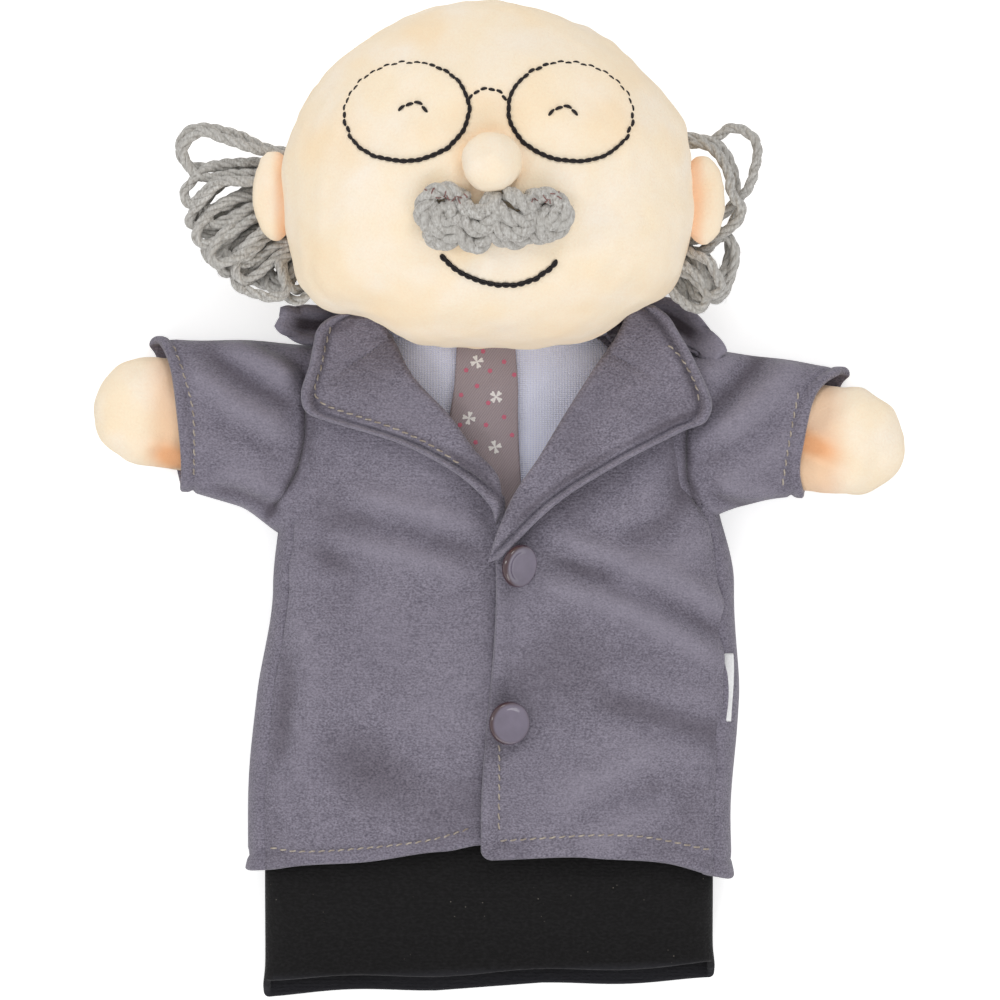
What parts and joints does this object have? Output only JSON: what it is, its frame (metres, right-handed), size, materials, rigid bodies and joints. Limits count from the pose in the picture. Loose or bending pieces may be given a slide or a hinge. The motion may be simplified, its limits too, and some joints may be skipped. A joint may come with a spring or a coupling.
{
  "type": "glove puppet",
  "caption": "Grandfather glove puppet lying on its back: stuffed head with knitted moustache and side hair, velour coat over shirt and tie, mitten arms, open hem for the hand.",
  "frame": {"origin": "on the resting surface under the middle of the bounding box", "axes": "+Y from the hem to the top of the head, +Z from the back to the face, +X to the viewer's right as the face is looked at"},
  "size_m": [0.2262, 0.2769, 0.0801],
  "materials": {
    "skin_plush": "matte",
    "coat_cloth": "matte",
    "shirt_jersey": "matte",
    "trousers_velour": "matte",
    "tie_satin": "satin",
    "grey_yarn": "matte",
    "black_thread": "matte",
    "button_plastic": "gloss",
    "label_satin": "satin",
    "wadding": "matte",
    "finger_lining": "matte"
  },
  "bodies": {
    "root": {"arm_left": "skin_plush", "arm_right": "skin_plush", "bridge": "black_thread", "button_lower": "button_plastic", "button_upper": "button_plastic", "care_label": "label_satin", "coat_back": "coat_cloth", "coat_front_left": "coat_cloth", "coat_front_right": "coat_cloth", "collar": "coat_cloth", "ear_left": "skin_plush", "ear_right": "skin_plush", "eye_left": "black_thread", "eye_right": "black_thread", "finger_tube": "finger_lining", "hair_left": "grey_yarn", "hair_right": "grey_yarn", "head_back": "skin_plush", "head_face": "skin_plush", "head_filling": "wadding", "lapel_left": "coat_cloth", "lapel_right": "coat_cloth", "moustache": "grey_yarn", "mouth": "black_thread", "nose": "skin_plush", "rim_left": "black_thread", "rim_right": "black_thread", "shirt_back": "shirt_jersey", "shirt_front": "shirt_jersey", "sleeve_left": "coat_cloth", "sleeve_right": "coat_cloth", "tie": "tie_satin", "trousers_back": "trousers_velour", "trousers_front": "trousers_velour"}
  },
  "joints": []
}
